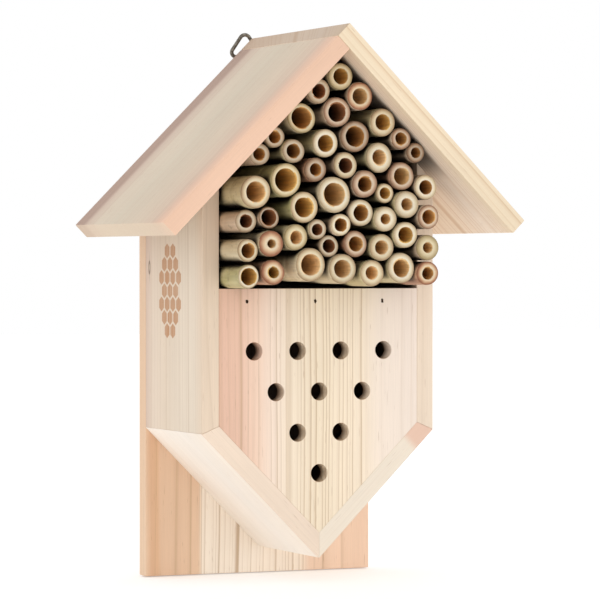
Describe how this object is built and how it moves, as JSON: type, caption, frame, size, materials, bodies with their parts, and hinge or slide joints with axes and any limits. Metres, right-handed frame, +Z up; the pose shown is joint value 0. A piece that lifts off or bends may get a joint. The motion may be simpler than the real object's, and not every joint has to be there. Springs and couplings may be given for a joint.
{
  "type": "insect hotel",
  "caption": "Wall-hung insect house: pointed softwood body with a drilled front, pitched roof, gable packed with hollow bamboo canes, and a wire hanging ring.",
  "frame": {"origin": "centre of the back board's bottom edge face", "axes": "+Z up, the drilled front and the canes' mouths face -Y, +X to the right seen from the front"},
  "size_m": [0.2157, 0.141, 0.312],
  "materials": {
    "softwood": "planed, untreated",
    "bamboo": "natural cane, satin skin",
    "brad_steel": "plain",
    "ring_wire": "dull, darkened",
    "plated_steel": "zinc plated"
  },
  "bodies": {
    "house": {"back_board": "softwood", "left_wall": "softwood", "right_wall": "softwood", "left_bottom_board": "softwood", "right_bottom_board": "softwood", "cane_shelf": "softwood", "front_board": "softwood", "left_roof_panel": "softwood", "right_roof_panel": "softwood", "cane_01": "bamboo", "cane_02": "bamboo", "cane_03": "bamboo", "cane_04": "bamboo", "cane_05": "bamboo", "cane_06": "bamboo", "cane_07": "bamboo", "cane_08": "bamboo", "cane_09": "bamboo", "cane_10": "bamboo", "cane_11": "bamboo", "cane_12": "bamboo", "cane_13": "bamboo", "cane_14": "bamboo", "cane_15": "bamboo", "cane_16": "bamboo", "cane_17": "bamboo", "cane_18": "bamboo", "cane_19": "bamboo", "cane_20": "bamboo", "cane_21": "bamboo", "cane_22": "bamboo", "cane_23": "bamboo", "cane_24": "bamboo", "cane_25": "bamboo", "cane_26": "bamboo", "cane_27": "bamboo", "cane_28": "bamboo", "cane_29": "bamboo", "cane_30": "bamboo", "cane_31": "bamboo", "cane_32": "bamboo", "cane_33": "bamboo", "cane_34": "bamboo", "cane_35": "bamboo", "cane_36": "bamboo", "cane_37": "bamboo", "cane_38": "bamboo", "cane_39": "bamboo", "cane_40": "bamboo", "cane_41": "bamboo", "cane_42": "bamboo", "cane_43": "bamboo", "cane_44": "bamboo", "cane_45": "bamboo", "cane_46": "bamboo", "cane_47": "bamboo", "brads": "brad_steel", "hanger_strap": "plated_steel", "hanger_screw": "plated_steel"},
    "ring": {"hanger_ring": "ring_wire"}
  },
  "joints": [
    {"name": "ring_swing", "type": "hinge", "parent": "house", "child": "ring", "pos_m": [-0.0035, 0.007, 0.2981], "axis": [-1, 0, 0], "range_deg": [0, 165]}
  ]
}
